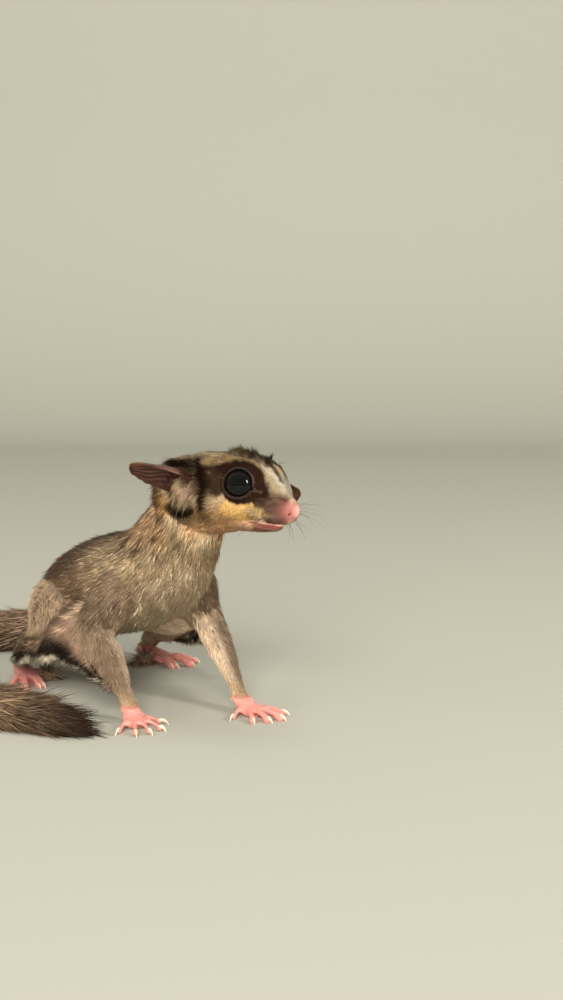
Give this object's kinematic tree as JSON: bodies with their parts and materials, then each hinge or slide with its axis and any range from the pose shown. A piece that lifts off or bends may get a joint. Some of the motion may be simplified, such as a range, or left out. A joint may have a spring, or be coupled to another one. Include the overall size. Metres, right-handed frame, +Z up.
{
  "type": "sugar glider",
  "caption": "Small gliding possum standing on all fours with its forebody raised, head turned, folded flank membranes and a bushy tail curled on the floor.",
  "frame": {"origin": "middle of the whole model's outline, on the floor that it stands on", "axes": "+X the way the body faces, +Y its left side, +Z up"},
  "size_m": [0.1726, 0.1122, 0.0835],
  "materials": {
    "fur_grey": "soft short grey-brown fur",
    "fur_cream": "soft cream fur of the underside and the flank fold",
    "fur_dark": "soft dark fur of the stripes and the tail's tip",
    "bare_skin": "smooth moist pink skin",
    "ear_skin": "thin bare brown-pink skin",
    "eye_gloss": "wet black gloss",
    "claw_horn": "pale translucent horn"
  },
  "bodies": {
    "root": {"head": "fur_grey", "neck": "fur_grey", "torso": "fur_grey", "foreleg_l": "fur_grey", "foreleg_r": "fur_grey", "hindleg_l": "fur_grey", "hindleg_r": "fur_grey", "tail_base": "fur_grey", "tail_bend": "fur_grey", "tail_middle": "fur_grey", "tail_tip": "fur_dark", "membrane_l": "fur_cream", "membrane_r": "fur_cream", "forepaw_l": "bare_skin", "forepaw_r": "bare_skin", "hindfoot_l": "bare_skin", "hindfoot_r": "bare_skin", "nose": "bare_skin", "ear_l": "ear_skin", "ear_r": "ear_skin", "eye_l": "eye_gloss", "eye_r": "eye_gloss"}
  },
  "joints": []
}
